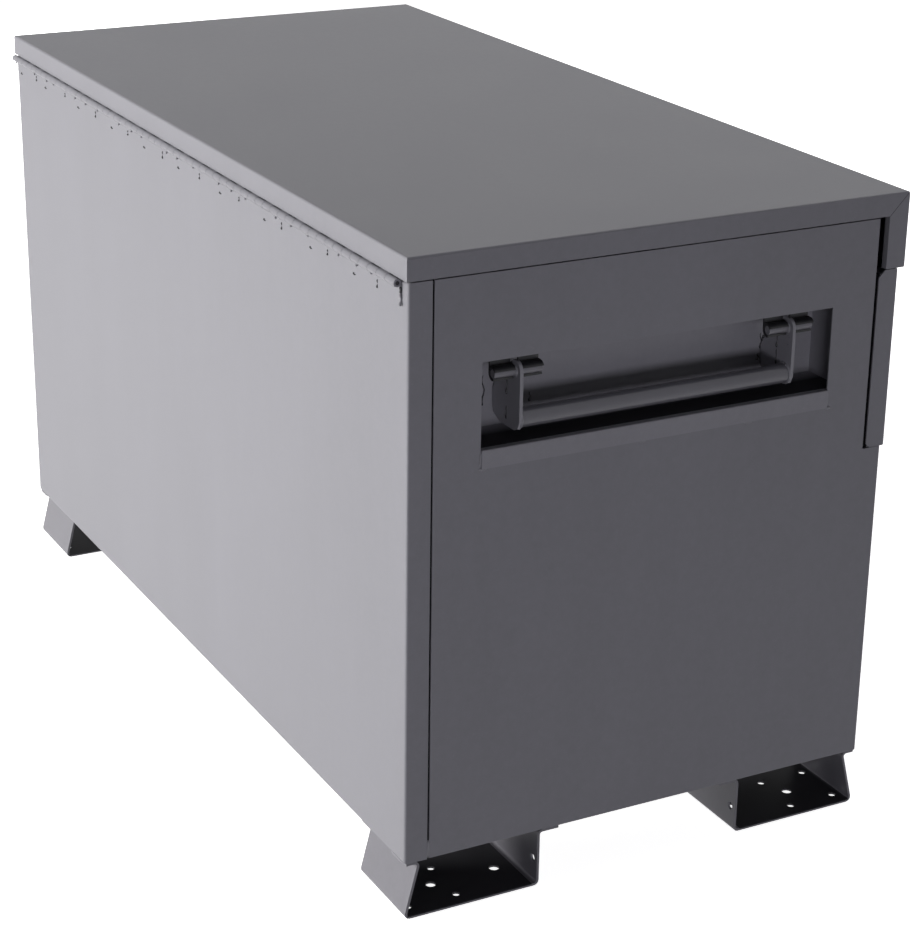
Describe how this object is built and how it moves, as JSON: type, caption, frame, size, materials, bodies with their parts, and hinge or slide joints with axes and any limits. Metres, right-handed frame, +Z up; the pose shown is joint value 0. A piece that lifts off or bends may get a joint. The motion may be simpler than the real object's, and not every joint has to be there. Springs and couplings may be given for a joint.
{
  "type": "jobsite storage box",
  "caption": "Long sheet-steel storage chest on open feet, with a hinged flap lid, padlock housings and folding handles sunk into its ends.",
  "frame": {"origin": "on the floor under the middle of the whole object", "axes": "+X along the length, -Y the lock front, +Y the hinge side, +Z up"},
  "size_m": [1.219, 0.6166, 0.746],
  "materials": {
    "grey_paint": "semi-matte grey paint",
    "inner_paint": "thin matte grey paint on inner faces",
    "zinc_plate": "bright zinc plate"
  },
  "bodies": {
    "box_body": {"back_panel": "grey_paint", "front_panel": "grey_paint", "lock_channel": "grey_paint", "floor_panel": "inner_paint", "hinge_lower_leaf": "grey_paint", "hinge_pin": "zinc_plate", "left_end_panel": "grey_paint", "left_rear_foot": "grey_paint", "left_front_foot": "grey_paint", "left_handle_pocket": "grey_paint", "left_rear_pivot_strap": "grey_paint", "left_front_pivot_strap": "grey_paint", "left_lock_housing": "inner_paint", "left_lock_hook": "zinc_plate", "left_stay_stud": "zinc_plate", "right_end_panel": "grey_paint", "right_rear_foot": "grey_paint", "right_front_foot": "grey_paint", "right_handle_pocket": "grey_paint", "right_rear_pivot_strap": "grey_paint", "right_front_pivot_strap": "grey_paint", "right_lock_housing": "inner_paint", "right_lock_hook": "zinc_plate", "right_stay_stud": "zinc_plate"},
    "lid": {"lid_shell": "grey_paint", "hinge_upper_leaf": "grey_paint", "left_lid_tongue": "grey_paint", "left_lid_stiffener": "inner_paint", "left_stay_lug": "inner_paint", "left_stay_rivet": "zinc_plate", "right_lid_tongue": "grey_paint", "right_lid_stiffener": "inner_paint", "right_stay_lug": "inner_paint", "right_stay_rivet": "zinc_plate"},
    "left_handle": {"left_handle_grip": "grey_paint", "left_rear_handle_arm": "grey_paint", "left_front_handle_arm": "grey_paint", "left_rear_pivot_rod": "grey_paint", "left_front_pivot_rod": "grey_paint"},
    "left_stay": {"left_stay_arm": "zinc_plate"},
    "right_handle": {"right_handle_grip": "grey_paint", "right_rear_handle_arm": "grey_paint", "right_front_handle_arm": "grey_paint", "right_rear_pivot_rod": "grey_paint", "right_front_pivot_rod": "grey_paint"},
    "right_stay": {"right_stay_arm": "zinc_plate"}
  },
  "joints": [
    {"name": "lid_hinge", "type": "hinge", "parent": "box_body", "child": "lid", "pos_m": [0, 0.30375, 0.7161], "axis": [-1, 0, 0], "range_deg": [0, 105]},
    {"name": "left_handle_swing", "type": "hinge", "parent": "box_body", "child": "left_handle", "pos_m": [-0.5931, -0.00105, 0.606], "axis": [0, 1, 0], "range_deg": [0, 105]},
    {"name": "left_stay_pivot", "type": "hinge", "parent": "lid", "child": "left_stay", "pos_m": [-0.5387, 0.13875, 0.7041], "axis": [1, 0, 0], "range_deg": [0, 52.5]},
    {"name": "right_handle_swing", "type": "hinge", "parent": "box_body", "child": "right_handle", "pos_m": [0.5931, -0.00105, 0.606], "axis": [0, -1, 0], "range_deg": [0, 105]},
    {"name": "right_stay_pivot", "type": "hinge", "parent": "lid", "child": "right_stay", "pos_m": [0.5387, 0.13875, 0.7041], "axis": [1, 0, 0], "range_deg": [0, 52.5]}
  ],
  "couplings": [
    {"joint": "left_stay_pivot", "follows": "lid_hinge", "ratio": 0.5},
    {"joint": "right_stay_pivot", "follows": "lid_hinge", "ratio": 0.5}
  ]
}
